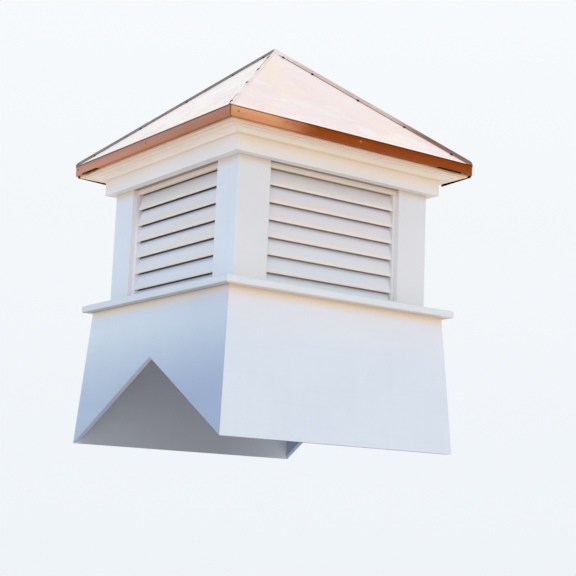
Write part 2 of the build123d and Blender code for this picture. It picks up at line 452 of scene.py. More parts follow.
@dataclass(frozen=True)
class BladeFinish:
    """White vinyl louvre blades, with painted shade high up under the blade above.

    The sizes that end in rows count blades upwards, and so do parts of one blade's height.
    """

    name: str
    foot: float = 0.544
    stack: float = 0.4575
    count: int = 7
    clouds: Pattern = Pattern(5.0, shift=(1.3, 0.2, 7.7), detail=4.0)
    specks: Pattern = Pattern(500.0, detail=2.0)
    wander: float = 0.9
    speck: Tint = Tint((0.40, 0.38, 0.37), 0.6, 0.8, 0.12)
    depths: Span = (0.0008, 0.00006)
    gloss: Ramp = (0.3, 0.7, 0.36, 0.50)
    refraction: float = 1.5
    # A painted highlight on each blade's lower edge.
    nose_highlight: Colour = (0.88, 0.79, 0.75)
    nose_rows: Span = (0.20, 0.10)
    nose_back: float = 0.4235
    nose_soft: float = 0.004
    # Painted light by side and height: warm low on each face, bluish high up under the blade above,
    # bluer on the lowest rows.
    faces: Pair = ((0.81, 0.745, 0.73), (0.83, 0.82, 0.81))
    upper_shades: Pair = ((0.765, 0.77, 0.84), (0.84, 0.86, 0.98))
    upper_rows: Span = (0.20, 0.75)
    lows: Pair = ((0.75, 0.82, 0.89), (0.76, 0.85, 1.0))
    low_rows: Ramp = (4.5, 0.0, 0.0, 0.75)
    # Painted shade in the slot beneath each blade's lower edge.
    throat_shades: Pair = ((0.45, 0.35, 0.30), (0.085, 0.065, 0.05))
    throat_shade: float = 0.004
    lap_rows: Span = (0.16, 0.14)
    # Warm painted shade below the blade above, deepest on the top row.
    gloom: Colour = (0.50, 0.40, 0.34)
    gloom_rows: Span = (0.72, 1.0)
    gloom_shares: Span = (0.42, 0.10)
    top_gloom: Tint = Tint((0.58, 0.47, 0.38), 6.15, 6.95, 0.55)

    def build(self) -> bpy.types.Material:
        """Makes the material.

        Returns:
            The blades' material.
        """
        s = Surface(self.name)
        pitch = self.stack / self.count
        rows = s.math("DIVIDE", s.math("SUBTRACT", s.z, self.foot), pitch)
        row = s.math("FRACT", rows)
        clouds = s.noise(self.clouds)
        specks = s.noise(self.specks)
        wander = s.times(s.math("SUBTRACT", clouds, 0.5), self.wander)
        # Painted light and shade by side and row.
        high = s.remap(s.math("ADD", row, wander), *self.upper_rows)
        colour = s.blend(high, s.side_light_and_shade(self.faces), s.side_light_and_shade(self.upper_shades))
        low = s.remap(s.math("ADD", rows, wander), *self.low_rows)
        colour = s.blend(low, colour, s.side_light_and_shade(self.lows))
        # Painted shade below the blade above.
        behind = s.remap(s.reach, self.nose_back, self.nose_back - self.nose_soft)
        share = s.choose(s.beside, *self.gloom_shares)
        gloom = s.times(s.remap(row, *self.gloom_rows), share, behind)
        colour = s.blend(gloom, colour, self.gloom)
        colour = s.tint(colour, rows, self.top_gloom)
        # A painted highlight on the lower edges.
        front = s.math("SUBTRACT", 1.0, behind)
        colour = s.blend(s.times(s.remap(row, *self.nose_rows), front), colour, self.nose_highlight)
        # Painted shade in the slots.
        under_next = s.remap(row, 1.0 - self.throat_shade / pitch, 1.0)
        under = s.math("MAXIMUM", under_next, s.remap(row, *self.lap_rows))
        colour = s.blend(s.times(under, behind), colour, s.side_light_and_shade(self.throat_shades))
        colour = s.tint(colour, specks, self.speck)
        gloss = s.remap(clouds, *self.gloss)
        normal = s.relief(specks, self.depths[1], s.relief(clouds, self.depths[0]))
        return s.close(Base_Color=colour, Roughness=gloss, Normal=normal, IOR=self.refraction)


@dataclass(frozen=True)
class TimberFinish:
    """Sawn softwood or plywood on the inside of the roof."""

    name: str
    early: Colour
    late: Colour
    grain: Grain
    bands: Pattern = Pattern(38.0, detail=5.0, roughness=0.62, distortion=0.6)
    late_span: Span = (0.36, 0.66)
    fibres: Pattern = Pattern(260.0, detail=2.0)
    fibre: Tint = Tint((0.16, 0.09, 0.045), 0.5, 0.8, 0.35)
    clouds: Pattern = Pattern(4.0)
    cloud: Tint = Tint((0.42, 0.35, 0.27), 0.4, 0.75, 0.25)
    depths: Span = (0.0005, 0.0003)
    gloss: Ramp = (0.3, 0.7, 0.70, 0.86)

    def build(self) -> bpy.types.Material:
        """Makes the material.

        Returns:
            The timber's material.
        """
        s = Surface(self.name)
        bands = s.noise(replace(self.bands, stretch=self.grain.value))
        fibres = s.noise(replace(self.fibres, stretch=self.grain.value))
        colour = s.blend(s.remap(bands, *self.late_span), self.early, self.late)
        colour = s.tint(colour, fibres, self.fibre)
        colour = s.tint(colour, s.noise(self.clouds), self.cloud)
        gloss = s.remap(bands, *self.gloss)
        normal = s.relief(fibres, self.depths[1], s.relief(bands, self.depths[0]))
        return s.close(Base_Color=colour, Roughness=gloss, Normal=normal)


@dataclass(frozen=True)
class CopperFinish:
    """Bright mill copper: pale, clouded slopes and a stained fascia, with painted light and shade:
    reflections, a warm glow, a highlight along the hem, and shade under the hem and on the inside.
    """

    name: str
    eave_half: float
    eave: float
    hem_bottom: float = 1.141
    hem_shadow: Triple = (0.0003, 0.0015, 0.0035)
    clouds: Pattern = Pattern(2.4, (1.0, 1.0, 1.0), (4.2, 0.9, 2.2), 5.0, 0.55, 0.5)
    marks: Pattern = Pattern(30.0, detail=5.0, roughness=0.7)
    brushed: Pattern = Pattern(160.0, stretch=(1.0, 1.0, 0.2), detail=2.0)
    dents: Pattern = Pattern(3.2, shift=(2.0, 2.0, 5.0), detail=1.0)
    patches: Pattern = Pattern(5.5, (1.0, 1.0, 1.0), (0.3, 6.1, 1.0), 4.0, 0.6, 1.2)
    drift: Pattern = Pattern(4.0, (1.0, 1.0, 3.0), (8.0, 1.1, 0.0), 4.0, 0.5, 0.8)
    stains: Pattern = Pattern(9.0, (1.0, 1.0, 2.5), (5.0, 2.0, 0.0), 5.0, 0.6)
    slope: Colour = (0.95, 0.815, 0.80)
    # The left and right slopes take a paler copy: painted reflection.
    slope_side_reflection: Colour = (0.985, 0.935, 0.92)
    # Its colour is also the painted warm glow beside the hip.
    warm: Tint = Tint((0.99, 0.84, 0.74), 0.44, 0.68, 0.9)
    rose: Tint = Tint((0.91, 0.765, 0.765), 0.46, 0.70, 0.8)
    pale: Tint = Tint((1.0, 0.955, 0.93), 0.52, 0.70, 0.6)
    slope_mark: Tint = Tint((0.60, 0.38, 0.31), 0.60, 0.85, 0.03)
    glow_off_hip: Span = (0.17, 0.02)
    glow_foot: Span = (0.34, 0.18)
    glow_top: Span = (0.04, 0.10)
    glow_patches: Ramp = (0.30, 0.55, 0.25, 0.85)
    # The fascia is painted with its reflection: bright near the left end of the front and back,
    # deep past it and darker towards the foot; the left and right ones are darker copies, greyer
    # near the eave.
    fascia: Colour = (0.84, 0.39, 0.19)
    fascia_deep: Tint = Tint((0.30, 0.048, 0.001), -0.40, -0.20)
    fascia_wander: float = 0.16
    fascia_stain: Tint = Tint((0.42, 0.11, 0.03), 0.50, 0.72, 0.25)
    fascia_low: Colour = (0.40, 0.12, 0.04)
    fascia_low_share: float = 0.25
    fascia_mark: Tint = Tint((0.20, 0.055, 0.02), 0.58, 0.80, 0.35)
    fascia_side: Tint = Tint((0.62, 0.26, 0.145), 0.45, -0.45)
    fascia_side_near: Colour = (0.46, 0.18, 0.088)
    fascia_side_grey: Tint = Tint((0.42, 0.225, 0.19), 0.46, 0.70, 0.3)
    low_below_eave: Span = (0.006, 0.030)
    # The colour of dark joint lines, also used for the painted shadow under the hem.
    seam_and_hem_shadow: Colour = (0.10, 0.035, 0.015)
    seam_half_width: float = 0.0035
    seam_marks: Ramp = (0.3, 0.6, 0.45, 0.75)
    hem_shadow_share: float = 0.75
    # A painted highlight along the hem at the eave.
    bead_highlight: Colour = (1.0, 0.97, 0.93)
    bead_width: float = 0.008
    # Painted shade on what faces inward.
    inside: Tint = Tint((0.030, 0.012, 0.008), -0.02, -0.05)
    side_span: Span = (0.25, 0.45)
    up_span: Span = (0.25, 0.55)
    dent_depth: float = 0.006
    brushed_depth: float = 0.00001
    gloss: Ramp = (0.3, 0.7, 0.24, 0.36)
    mark_gloss: Ramp = (0.4, 0.8, 0.0, 0.03)

    def glow(self, s: Surface, patches: Socket) -> Socket:
        """Finds where a painted warm glow lies on a slope: high up beside the hip at its left.

        Args:
            s: the material.
            patches: the pattern that breaks it up.

        Returns:
            The share's socket.
        """
        near_hip = s.remap(s.math("SUBTRACT", s.along, s.across), *self.glow_off_hip)
        high = s.times(s.remap(s.along, *self.glow_foot), s.remap(s.along, *self.glow_top))
        on_left = s.math("GREATER_THAN", 0.0, s.run_straight)
        broken = s.times(on_left, s.remap(patches, *self.glow_patches))
        return s.times(near_hip, high, broken)

    def slopes(self, s: Surface, clouds: Socket, marks: Socket, sideways: Socket) -> Socket:
        """Colours the slopes.

        Args:
            s: the material.
            clouds: the broad pattern.
            marks: the fine pattern.
            sideways: 1 on the left and right sides, 0 on the front and back.

        Returns:
            The colour's socket.
        """
        patches = s.noise(self.patches)
        colour = s.blend(sideways, self.slope, self.slope_side_reflection)
        colour = s.tint(colour, clouds, self.warm)
        colour = s.tint(colour, patches, self.rose)
        colour = s.tint(colour, s.noise(self.drift), self.pale)
        # A painted warm glow beside the hip.
        glow = s.times(self.glow(s, patches), s.math("SUBTRACT", 1.0, sideways))
        colour = s.blend(glow, colour, self.warm.colour)
        return s.tint(colour, marks, self.slope_mark)

    def fascias(self, s: Surface, marks: Socket, sideways: Socket) -> Socket:
        """Colours the fascia and the lip under it.

        Args:
            s: the material.
            marks: the fine pattern.
            sideways: 1 on the left and right sides, 0 on the front and back.

        Returns:
            The colour's socket.
        """
        stains = s.noise(self.stains)
        # Painted reflection on the front and back: bright near the left end and deep past it, along
        # a wandering edge.
        wander = s.times(s.math("SUBTRACT", stains, 0.5), self.fascia_wander)
        run = s.math("ADD", s.run_straight, wander)
        sideways = s.math("MAXIMUM", sideways, s.times(s.beside, s.below))
        low = s.remap(s.z, *(self.eave - drop for drop in self.low_below_eave))
        straight = s.tint(self.fascia, run, self.fascia_deep)
        straight = s.tint(straight, stains, self.fascia_stain)
        straight = s.blend(s.times(low, self.fascia_low_share), straight, self.fascia_low)
        # The left and right fascias: darker copies painted in their own light, greyer near the
        # eave.
        side = s.tint(self.fascia_side_near, s.run_beside, self.fascia_side)
        side = s.blend(low, self.fascia_side_grey.colour, side)
        side = s.tint(side, stains, self.fascia_side_grey)
        colour = s.tint(s.blend(sideways, straight, side), marks, self.fascia_mark)
        # A painted shadow under the hem.
        under_hem = s.math("SUBTRACT", self.hem_bottom, s.z)
        begins, fades, ends = self.hem_shadow
        shadow = s.times(s.remap(under_hem, 0.0, begins), s.remap(under_hem, ends, fades))
        colour = s.blend(s.times(shadow, self.hem_shadow_share), colour, self.seam_and_hem_shadow)
        # Painted shade on what faces inward.
        outward = s.math("ADD", s.times(s.x, s.facing_x), s.times(s.y, s.facing_y))
        return s.tint(colour, outward, self.inside)

    def build(self) -> bpy.types.Material:
        """Makes the material.

        Returns:
            The sheet's material.
        """
        s = Surface(self.name)
        clouds = s.noise(self.clouds)
        marks = s.noise(self.marks)
        sideways = s.remap(s.math("ABSOLUTE", s.facing_x), *self.side_span)
        slopes = self.slopes(s, clouds, marks, sideways)
        # A painted highlight along the hem at the eave.
        bead_highlight = (self.eave_half - self.bead_width, self.eave_half - 0.5 * self.bead_width)
        slopes = s.blend(s.remap(s.reach, *bead_highlight), slopes, self.bead_highlight)
        up = s.remap(s.facing_z, *self.up_span)
        colour = s.blend(up, self.fascias(s, marks, sideways), slopes)
        mitred = s.math("GREATER_THAN", s.times(s.x, s.y), 0.0)
        edge = s.times(s.mitre(self.seam_half_width), s.remap(marks, *self.seam_marks))
        colour = s.blend(s.times(edge, mitred), colour, self.seam_and_hem_shadow)
        marked = s.remap(marks, *self.mark_gloss)
        gloss = s.math("ADD", s.remap(clouds, *self.gloss), marked)
        dented = s.relief(s.noise(self.dents), self.dent_depth)
        normal = s.relief(s.noise(self.brushed), self.brushed_depth, dented)
        return s.close(Base_Color=colour, Metallic=1.0, Roughness=gloss, Normal=normal)


@dataclass(frozen=True)
class HipFinish:
    """The copper along the hips, with its flanks, its fold and painted shade along the edge of its
    foot; the flanks on the left and right quarters are painted with their reflection.

    Where it is browned, has its painted highlight and has a whole foot is given in shares of the
    way down.
    """

    name: str
    leg: float
    flank: Colour
    flank_side_reflection: Colour
    foot_shades: Pair
    foot_width: float
    reach: float
    fold: Colour | None = None
    fold_half_width: float = 0.003
    browned: Tint | None = None
    # A painted highlight towards the apex.
    bright: Tint = Tint((0.96, 0.89, 0.87), 0.20, 0.05, 0.8)
    wander: float = 0.12
    whole_run: Span | None = None
    whole_soft: float = 0.02
    whole_share: float = 0.85
    patches: Pattern = Pattern(9.0, detail=5.0, roughness=0.6, distortion=0.8)
    patch: Tint = Tint((0.42, 0.25, 0.19), 0.42, 0.68, 0.2)
    marks: Pattern = Pattern(60.0, detail=4.0, roughness=0.65)
    mark: Tint = Tint((0.14, 0.08, 0.06), 0.58, 0.80, 0.3)
    mark_depth: float = 0.0003
    gloss: Ramp = (0.3, 0.7, 0.28, 0.46)

    def build(self) -> bpy.types.Material:
        """Makes the material.

        Returns:
            The hips' material.
        """
        s = Surface(self.name)
        patches = s.noise(self.patches)
        marks = s.noise(self.marks)
        off_line = s.math("DIVIDE", s.off_diagonal, math.sqrt(2.0))
        down = s.math("DIVIDE", s.reach, self.reach)
        wander = s.times(s.math("SUBTRACT", patches, 0.5), self.wander)
        level = s.math("ADD", down, wander)
        straight = self.flank
        for tint in filter(None, (self.browned, self.bright)):
            straight = s.tint(straight, level, tint)
        # The left and right flanks take a painted reflection.
        colour = s.blend(s.beside, straight, self.flank_side_reflection)
        colour = s.tint(colour, patches, self.patch)
        if self.fold is not None:
            near = s.remap(off_line, self.fold_half_width, self.fold_half_width * WHOLE)
            colour = s.blend(near, colour, self.fold)
        colour = s.tint(colour, marks, self.mark)
        # Painted shade along the edge of the foot.
        rim = s.remap(off_line, *(self.leg - part * self.foot_width for part in (1.0, WHOLE)))
        if self.whole_run is not None:
            first, last = self.whole_run
            begun = s.remap(down, first, first + self.whole_soft)
            gap = s.times(begun, s.remap(down, last, last - self.whole_soft))
            rim = s.times(rim, s.math("SUBTRACT", 1.0, s.times(gap, self.whole_share)))
        colour = s.blend(rim, colour, s.side_light_and_shade(self.foot_shades))
        gloss = s.remap(marks, *self.gloss)
        normal = s.relief(marks, self.mark_depth)
        return s.close(Base_Color=colour, Metallic=1.0, Roughness=gloss, Normal=normal)


@dataclass(frozen=True)
class FixingFinish:
    """Rivet or screw heads, mottled bright and dull, and the near-black flaps of painted shadow
    behind the eaves.
    """

    name: str
    bright: Colour
    dull: Colour
    patches: Pattern = Pattern(180.0, roughness=0.6)
    dull_span: Span = (0.38, 0.66)
    patch_depth: float = 0.0002
    gloss: Ramp = (0.3, 0.7, 0.26, 0.46)

    def build(self) -> bpy.types.Material:
        """Makes the material.

        Returns:
            The heads' material.
        """
        s = Surface(self.name)
        patches = s.noise(self.patches)
        colour = s.blend(s.remap(patches, *self.dull_span), self.bright, self.dull)
        gloss = s.remap(patches, *self.gloss)
        normal = s.relief(patches, self.patch_depth)
        return s.close(Base_Color=colour, Metallic=1.0, Roughness=gloss, Normal=normal)


def set_out(name: str, data: bpy.types.ID) -> bpy.types.Object:
    """Puts a new object in the scene, at the origin.

    Args:
        name: the object's name.
        data: its mesh, light or camera.

    Returns:
        The object.
    """
    new = bpy.data.objects.new(name, data)
    bpy.context.scene.collection.objects.link(new)
    return new


def dress(node: str, finish: bpy.types.Material) -> None:
    """Gives a CAD node its material.

    Args:
        node: the node's name.
        finish: its material.
    """
    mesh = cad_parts[node].data
    mesh.materials.clear()
    mesh.materials.append(finish)


@dataclass(frozen=True)
class HeadRow:
    """A straight row of domed heads with a flange, made by Geometry Nodes."""

    radius: float
    dome: float
    flange: float = 1.35
    flange_depth: float = 0.0005
    around: int = 14
    rings: int = 6
    turn: float = 6.28

    def tree(self, name: str, finish: bpy.types.Material) -> bpy.types.NodeTree:
        """Writes the node tree.

        Args:
            name: the tree's name.
            finish: the material of the heads.

        Returns:
            The tree, with inputs for the row's ends, its count and the way the heads face.
        """
        tree = bpy.data.node_groups.new(name, "GeometryNodeTree")
        kinds = {"Geometry": "Geometry", "Count": "Int", "Seed": "Int"}
        kinds |= dict.fromkeys(("Start", "End", "Facing"), "Vector")
        kinds |= dict.fromkeys(("Radius", "Dome height"), "Float")
        for label, kind in kinds.items():
            tree.interface.new_socket(label, in_out="INPUT", socket_type=f"NodeSocket{kind}")
        tree.interface.new_socket("Geometry", in_out="OUTPUT", socket_type="NodeSocketGeometry")
        w = NodeWriter(tree)
        given = w.add("NodeGroupInput").outputs
        ends = {"Start": given["Start"], "End": given["End"]}
        line = w.out("GeometryNodeCurvePrimitiveLine", ends)
        row = w.out("GeometryNodeResampleCurve", {"Curve": line, "Count": given["Count"]})
        points = w.out("GeometryNodeCurveToPoints", {"Curve": row}, mode="EVALUATED")
        round_ball = {"Segments": self.around, "Rings": self.rings, "Radius": given["Radius"]}
        ball = w.out("GeometryNodeMeshUVSphere", round_ball)
        flat = w.math("DIVIDE", given["Dome height"], given["Radius"])
        squash = w.out("ShaderNodeCombineXYZ", {"X": 1.0, "Y": 1.0, "Z": flat})
        dome = w.out("GeometryNodeTransform", {"Geometry": ball, "Scale": squash})
        wide = w.times(given["Radius"], self.flange)
        disc = {"Vertices": self.around, "Radius": wide, "Depth": 2 * self.flange_depth}
        flange = w.out("GeometryNodeMeshCylinder", disc)
        head = w.add("GeometryNodeJoinGeometry")
        for part in (dome, flange):
            tree.links.new(part, head.inputs[0])
        tilt = w.out("FunctionNodeAlignRotationToVector", {"Vector": given["Facing"]}, axis="Z")
        chance = {"Max": self.turn, "Seed": given["Seed"]}
        spin = w.add("FunctionNodeRandomValue", chance, data_type="FLOAT").outputs["Value"]
        about = w.out("FunctionNodeAxisAngleToRotation", {"Angle": spin})
        turns = {"Rotation": tilt, "Rotate By": about}
        facing = w.out("FunctionNodeRotateRotation", turns, rotation_space="LOCAL")
        places = {"Points": points, "Instance": head.outputs[0], "Rotation": facing}
        placed = w.out("GeometryNodeInstanceOnPoints", places)
        real = w.out("GeometryNodeRealizeInstances", {"Geometry": placed})
        painted = w.out("GeometryNodeSetMaterial", {"Geometry": real, "Material": finish})
        w.add("NodeGroupOutput", {0: painted})
        return tree

    def lay(
        self,
        name: str,
        tree: bpy.types.NodeTree,
        start: Vector,
        end: Vector,
        facing: Vector,
        count: int,
        seed: int,
    ) -> bpy.types.Object:
        """Turns one row into a plain mesh.

        Args:
            name: the piece's name.
            tree: the tree of these heads.
            start: the centre of the first head's foot.
            end: the centre of the last head's foot.
            facing: the way the heads face.
            count: how many heads there are.
            seed: sets how each head is turned.

        Returns:
            The row as an object at the origin.
        """
        carrier = set_out(name + "_carrier", bpy.data.meshes.new(name + "_carrier"))
        modifier = carrier.modifiers.new("row", "NODES")
        modifier.node_group = tree
        values = {
            "Start": tuple(start),
            "End": tuple(end),
            "Facing": tuple(facing),
            "Count": count,
            "Radius": self.radius,
            "Dome height": self.dome,
            "Seed": seed,
        }
        for item in tree.interface.items_tree:
            if item.in_out == "INPUT" and item.name in values:
                modifier[item.identifier] = values[item.name]
        shown = carrier.evaluated_get(bpy.context.evaluated_depsgraph_get())
        mesh = bpy.data.meshes.new_from_object(shown)
        carrier.modifiers.remove(modifier)
        bpy.data.objects.remove(carrier)
        mesh.name = name
        mesh.shade_smooth()
        return set_out(name, mesh)


@dataclass
class Base:
    """The flared base and the sill ring on top of it."""

    # Painted light and shade on the walls: side copies, a bluer foot, a glow under the sill and
    # shade on the left and right.
    wall: BoardFinish = BoardFinish(
        lit_and_shaded_colours=((0.818, 0.812, 0.872), (0.735, 0.81, 0.935)),
        foot=((0.77, 0.815, 0.905), (0.64, 0.745, 0.89)),
        foot_span=(0.48, 0.32),
        bounce_glow_top=0.529,
        bounce_glow_depth=0.046,
        bounce_glow_share=0.90,
        weathered_and_shaded=(0.42, 0.14),
    )
    # Painted warm bounce light under the sill, by side.
    warmths: Pair = ((0.86, 0.67, 0.45), (0.98, 0.84, 0.68))
    # Painted side light on the sills.
    sill: BoardFinish = BoardFinish(
        lit_and_shaded_colours=((0.79, 0.80, 0.83), (0.71, 0.77, 0.87)), underside_film=1.0
    )
    # Painted shade under the sills, warm on the front and back and dark on the left and right.
    undersides: Pair = ((0.70, 0.58, 0.50), (0.48, 0.42, 0.39))
    # A painted shade line beneath the left and right sills, inside the wall.
    crease_shade: Band = Band(0.0, 0.507, (0.25, 0.20, 0.16), 0.75, soft=0.006, below=True)

    def dress(self) -> None:
        """Paints the walls and the sill boards."""
        for side, (across, _) in SIDES.items():
            beside = bool(across)
            wall = self.wall.on_level(side, "base board", warmth=self.warmths[beside])
            dress(f"{side}_base_wall", wall.build())
            bands = (self.crease_shade,) if beside else ()
            underside = self.undersides[beside]
            sill = self.sill.on_level(side, "sill board", underside=underside, bands=bands)
            dress(f"{side}_sill", sill.build())
        log.info("base: 4 walls and 4 sill boards dressed")


@dataclass
class LouvreStage:
    """The corner posts, and the frame and blades between each two of them."""

    # The paler returns and the glow at the top of the posts are painted light.
    post: BoardFinish = BoardFinish(
        "post board", painted_reveal_light=(0.88, 0.845, 0.88), bounce_glow_top=1.020, mitred=False
    )
    # The head and stile colour pairs, by side and height, and the peach glow on the head are
    # painted light and shade.
    rails: BoardFinish = BoardFinish(
        "louvre frame board",
        lit_and_shaded_colours=((0.81, 0.735, 0.69), (0.66, 0.61, 0.59)),
        foot=((0.76, 0.745, 0.745), (0.93, 0.92, 0.97)),
        warmth=(0.97, 0.80, 0.66),
        bounce_glow_top=1.002,
        bounce_glow_depth=0.001,
        bounce_glow_share=1.0,
        mitred=False,
    )
    blades: BladeFinish = BladeFinish("louvre blade vinyl")

    def dress(self) -> None:
        """Paints the posts, frames and blades."""
        post, rails, blades = self.post.build(), self.rails.build(), self.blades.build()
        for corner in CORNERS:
            dress(f"{corner}_post", post)
        for side in SIDES:
            dress(f"{side}_louvre_frame", rails)
            dress(f"{side}_louvre_blades", blades)
        log.info("louvre stage: 4 posts, 4 frames and 4 sets of blades dressed")


@dataclass
class Cornice:
    """The frieze and the crown moulding over it."""

    # The strip is painted shade under the frieze, inside the plane of the posts.
    frieze: BoardFinish = BoardFinish(
        lit_and_shaded_colours=((0.86, 0.81, 0.79), (0.90, 0.89, 0.92)),
        bounce_glow_top=1.080,
        bounce_glow_depth=0.050,
        bands=(Band(0.0, 0.4505, (0.22, 0.18, 0.15), 0.95),),
    )
    # Painted warm bounce light at the top of the friezes, by side.
    warmths: Pair = ((0.93, 0.73, 0.50), (0.90, 0.79, 0.68))
    bounce_glow_shares: Span = (0.65, 0.55)
    # Cream, also beneath: the moulding's tone with painted warm light from below.
    crown: BoardFinish = BoardFinish(
        lit_and_shaded_colours=((0.97, 0.81, 0.66), (0.98, 0.86, 0.78)),
        underside=(0.95, 0.80, 0.67),
        # Painted shade on the upper cove and in a line below it, a darker edge where the moulding
        # meets the frieze, and a painted copper glow on the outer band.
        bands=(
            Band(0.526, 0.556, (0.80, 0.73, 0.68), 0.60, soft=0.006),
            Band(0.520, 0.527, (0.55, 0.42, 0.32), 0.30, soft=0.004),
            Band(0.0, 0.4895, (0.55, 0.42, 0.32), 0.30),
            Band(0.549, 0.600, (0.90, 0.62, 0.40), 0.70, soft=0.010),
        ),
    )

    def dress(self) -> None:
        """Paints the frieze boards and the moulding."""
        for side, (across, _) in SIDES.items():
            beside = bool(across)
            warm = {"warmth": self.warmths[beside], "bounce_glow_share": self.bounce_glow_shares[beside]}
            dress(f"{side}_frieze", self.frieze.on_level(side, "frieze board", **warm).build())
            dress(f"{side}_crown", self.crown.on_level(side, "crown moulding").build())
        log.info("cornice: 4 friezes and 4 mouldings dressed")


@dataclass
class Roof:
    """The timber, the copper sheet over it, and the heads that hold the sheet.

    A row of heads is given by the share of the hip's length at its first and last head, and by
    how many heads it has. A flap is given by how far its ends are along the eave, and by the
    levels of its bottom there.
    """

    eave_half: float = 0.584
    eave: float = 1.145
    apex: float = 1.639
    flange: float = 0.0013
    cap_leg: float = 0.030
    strip_leg: float = 0.009
    cap_heads_aside: float = 0.0262
    strip_heads_aside: float = 0.0050
    cap_rows: Rows = ((0.20, 0.89, 4), (0.05, 0.05, 1))
    strip_rows: Rows = ((0.14, 0.64, 3), (0.962, 0.962, 1))
    screws: int = 2
    screws_at: float = 0.550
    screws_level: float = 1.1245
    screws_seed: int = 10
    flap_top: float = 1.107
    flap_faces: Span = (0.5808, 0.5820)
    near_flap: tuple[Span, Span] = ((0.395, 0.513), (1.1030, 1.0970))
    far_flap: tuple[Span, Span] = ((0.395, 0.566), (1.0920, 1.0985))
    plywood: Pair = ((0.62, 0.46, 0.28), (0.48, 0.32, 0.17))
    timber: Pair = ((0.68, 0.53, 0.34), (0.50, 0.34, 0.19))
    rivet: HeadRow = HeadRow(radius=0.0056, dome=0.0034)
    screw: HeadRow = HeadRow(radius=0.0034, dome=0.0013)

    @property
    def fall(self) -> float:
        """How far a hip falls for each metre of plan."""
        return (self.apex - self.eave) / self.eave_half / math.sqrt(2.0)

    def dress(self) -> None:
        """Paints the timber and the copper."""
        deck = TimberFinish("roof plywood", *self.plywood, Grain.ALONG_X).build()
        sheet = CopperFinish("copper sheet", self.eave_half, self.eave).build()
        for side in SIDES:
            plate = TimberFinish(f"{side} roof plate", *self.timber, level_grain(side))
            dress(f"{side}_roof_plate", plate.build())
            dress(f"{side}_roof_deck", deck)
            dress(f"{side}_copper_panel", sheet)
        # Painted reflection on the side flanks, painted shade along the foot edges and a painted
        # highlight towards the apex.
        cap = HipFinish(
            "hip cap copper",
            self.cap_leg,
            flank=(0.69, 0.535, 0.505),
            flank_side_reflection=(0.135, 0.130, 0.145),
            foot_shades=((0.30, 0.15, 0.11), (0.09, 0.080, 0.085)),
            foot_width=0.007,
            reach=self.eave_half,
            fold=(0.78, 0.64, 0.60),
            browned=Tint((0.25, 0.11, 0.07), 0.58, 0.78),
        ).build()
        strip = HipFinish(
            "hip strip copper",
            self.strip_leg,
            flank=(0.96, 0.85, 0.82),
            flank_side_reflection=(0.98, 0.92, 0.90),
            foot_shades=((0.88, 0.74, 0.69), (0.06, 0.035, 0.035)),
            foot_width=0.0065,
            reach=self.eave_half,
            whole_run=(0.43, 0.85),
        ).build()
        for corner, (across, along) in CORNERS.items():
            dress(f"{corner}_hip", cap if across * along < 0 else strip)
        log.info("roof: timber, 4 copper panels and 4 hips dressed")

    def on_hip(self, towards: Vector, aside: Vector, share: float, offset: float) -> Vector:
        """Finds a point on the flat foot of a hip's cap or strip.

        Args:
            towards: the way the hip runs out in plan.
            aside: the way across it in plan.
            share: how far down the hip the point is, of its whole length.
            offset: how far it is from the hip line.

        Returns:
            The point, in metres.
        """
        reach = self.eave_half * math.sqrt(2.0) * share
        plan = towards * reach + aside * offset
        height = self.apex + self.flange - self.fall * (reach + offset)
        return Vector((plan.x, plan.y, height))

    def make_rivets(self) -> None:
        """Makes the rows of rivets along the four hips."""
        finish = FixingFinish("rivet copper", (0.035, 0.020, 0.018), (0.015, 0.010, 0.010)).build()
        tree = self.rivet.tree("hip rivets", finish)
        number = 0
        for corner, (across, along) in CORNERS.items():
            towards = Vector((across, along, 0.0)).normalized()
            turned = Vector((-along, across, 0.0)).normalized()
            if across * along < 0:
                offset, rows = self.cap_heads_aside, self.cap_rows
                flanks = {"left": -1.0, "right": 1.0}
            else:
                offset, rows = self.strip_heads_aside, self.strip_rows
                flanks = {"side": 1.0 if across * turned.x > 0 else -1.0}
            for flank, way in flanks.items():
                aside = turned * way
                up = Vector((0.0, 0.0, 1.0))
                facing = (towards * self.fall + aside * self.fall + up).normalized()
                for part, (first, last, count) in zip(("row", "end"), rows):
                    start = self.on_hip(towards, aside, first, offset)
                    end = self.on_hip(towards, aside, last, offset)
                    name = f"{corner}_hip_{flank}_rivet_{part}"
                    row = self.rivet.lay(name, tree, start, end, facing, count, number)
                    number += 1
                    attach(row, "root")
                    log.info("%s: %d rivets", name, count)

    def make_screws(self) -> None:
        """Makes two screw heads on each fascia, one near its left end and one in its middle."""
        finish = FixingFinish("screw bronze", (0.74, 0.34, 0.17), (0.22, 0.08, 0.03)).build()
        tree = self.screw.tree("fascia screws", finish)
        level = Vector((0.0, 0.0, self.screws_level))
        for number, (side, (across, along)) in enumerate(SIDES.items(), self.screws_seed):
            outward = Vector((across, along, 0.0))
            aside = Vector((-along, across, 0.0))
            start = outward * self.eave_half - aside * self.screws_at + level
            middle = outward * self.eave_half + level
            name = f"{side}_fascia_screws"
            row = self.screw.lay(name, tree, start, middle, outward, self.screws, number)
            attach(row, "root")
            log.info("%s: %d screws", name, self.screws)

